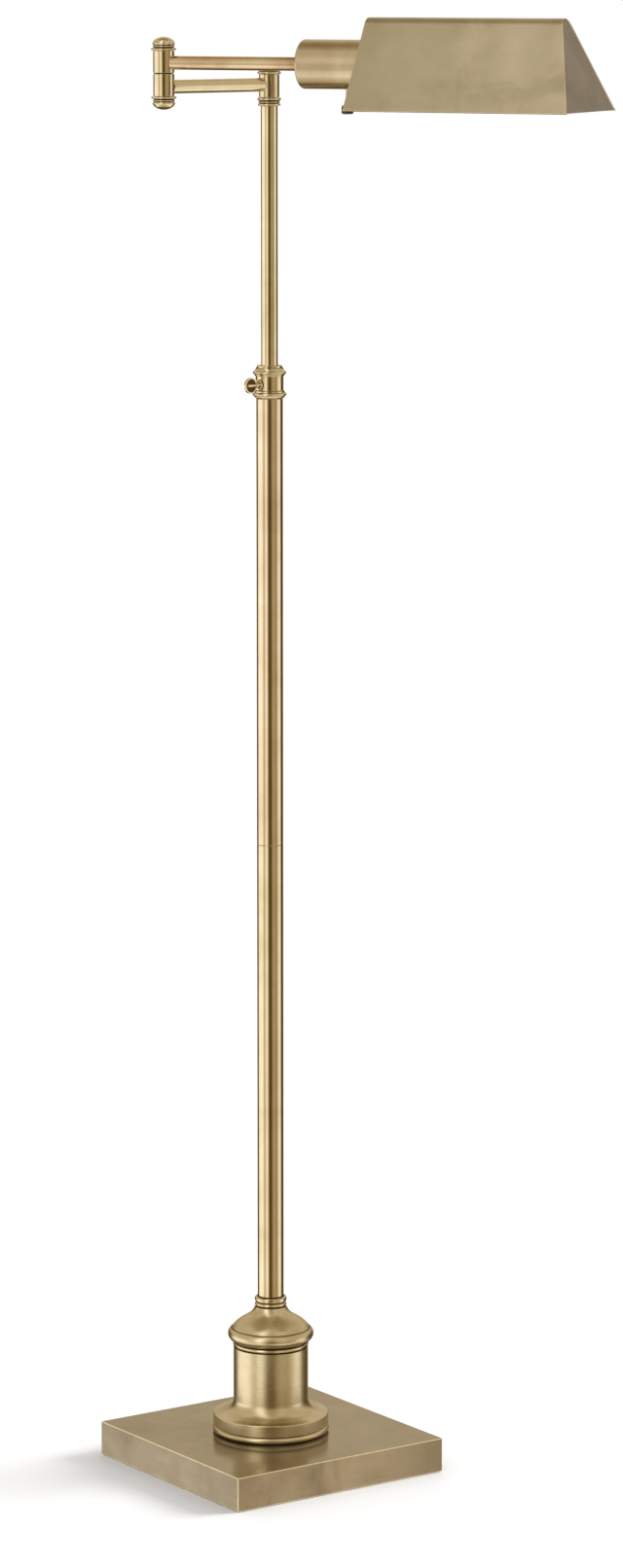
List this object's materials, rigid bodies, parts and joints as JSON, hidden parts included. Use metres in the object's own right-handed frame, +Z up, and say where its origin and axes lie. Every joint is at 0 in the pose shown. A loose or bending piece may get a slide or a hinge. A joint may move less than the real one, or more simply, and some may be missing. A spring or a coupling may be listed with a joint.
{
  "type": "pharmacy floor lamp",
  "caption": "Brushed antique brass pharmacy floor lamp with a square weighted foot, telescoping pole, swivelling elbow arm and a tent-shaped metal shade over a horizontal bulb.",
  "frame": {"origin": "on the pole's axis, in the plane of the floor under the middle of the square foot", "axes": "+Z up the pole; +X and +Y along the sides of the square foot; seen from above the lower arm points 184.6 degrees and the upper arm -59.4 degrees from +X at rest"},
  "size_m": [0.281, 0.5309, 1.412],
  "materials": {
    "aged_brass": "brushed and antiqued, satin lacquer",
    "dark_brass": "brushed, darker antiquing",
    "raw_brass": "turned, bare",
    "steel": "zinc plated",
    "cast_iron": "as cast",
    "black_plastic": "moulded phenolic",
    "nylon": "moulded",
    "felt": "pressed wool felt",
    "opal_glass": "opal"
  },
  "bodies": {
    "root": {"base_cover": "dark_brass", "base_felt": "felt", "base_pan": "steel", "base_weight": "cast_iron", "tie_washer": "steel", "tie_nut": "steel", "tie_rod": "steel", "cord_grommet": "black_plastic", "column": "aged_brass", "column_bead": "aged_brass", "bell_cap": "aged_brass", "neck_collar": "aged_brass", "lower_pole": "aged_brass", "pole_coupler": "raw_brass", "upper_pole": "aged_brass", "rod_bush": "nylon", "height_collar": "aged_brass"},
    "thumbscrew": {"thumbscrew": "aged_brass"},
    "height_rod": {"rod_stop": "nylon", "height_rod": "aged_brass", "tee_seat": "aged_brass", "tee_spindle": "steel", "tee_cap": "aged_brass"},
    "lower_arm": {"tee_barrel": "aged_brass", "lower_arm": "aged_brass", "elbow_lower_barrel": "aged_brass", "elbow_washer": "black_plastic", "elbow_pin": "steel", "elbow_top_finial": "aged_brass", "elbow_bottom_finial": "aged_brass"},
    "upper_arm": {"elbow_upper_barrel": "aged_brass", "upper_arm": "aged_brass", "swivel_nut": "raw_brass"},
    "shade": {"socket_cup": "aged_brass", "lampholder": "black_plastic", "screw_shell": "raw_brass", "centre_contact": "raw_brass", "bulb_cap": "steel", "bulb_glass": "opal_glass", "shade_body": "aged_brass", "shade_near_end": "aged_brass", "shade_far_end": "dark_brass", "shade_ring": "black_plastic"},
    "switch": {"switch_stem": "raw_brass", "switch_knob": "black_plastic"}
  },
  "joints": [
    {"name": "rod_slide", "type": "slide", "parent": "root", "child": "height_rod", "axis": [0, 0, 1], "range_m": [-0.235, 0.075]},
    {"name": "tee_swing", "type": "hinge", "parent": "height_rod", "child": "lower_arm", "pos_m": [0, 0, 1.3462], "axis": [0, 0, 1], "range_deg": [-170, 170]},
    {"name": "elbow_swing", "type": "hinge", "parent": "lower_arm", "child": "upper_arm", "pos_m": [-0.12559, -0.0101, 1.3587], "axis": [0, 0, 1], "range_deg": [-280, 45]},
    {"name": "shade_roll", "type": "hinge", "parent": "upper_arm", "child": "shade", "pos_m": [-0.02379, -0.18225, 1.3685], "axis": [0.509, -0.8607, 0], "range_deg": [-120, 120]},
    {"name": "thumbscrew_turn", "type": "hinge", "parent": "root", "child": "thumbscrew", "pos_m": [-0.02423, -0.00366, 1.063], "axis": [-0.9888, -0.1495, 0], "range_deg": [0, 540]},
    {"name": "switch_turn", "type": "hinge", "parent": "shade", "child": "switch", "pos_m": [-0.0304, -0.17106, 1.3285], "axis": [0, 0, -1], "range_deg": [0, 90]}
  ]
}
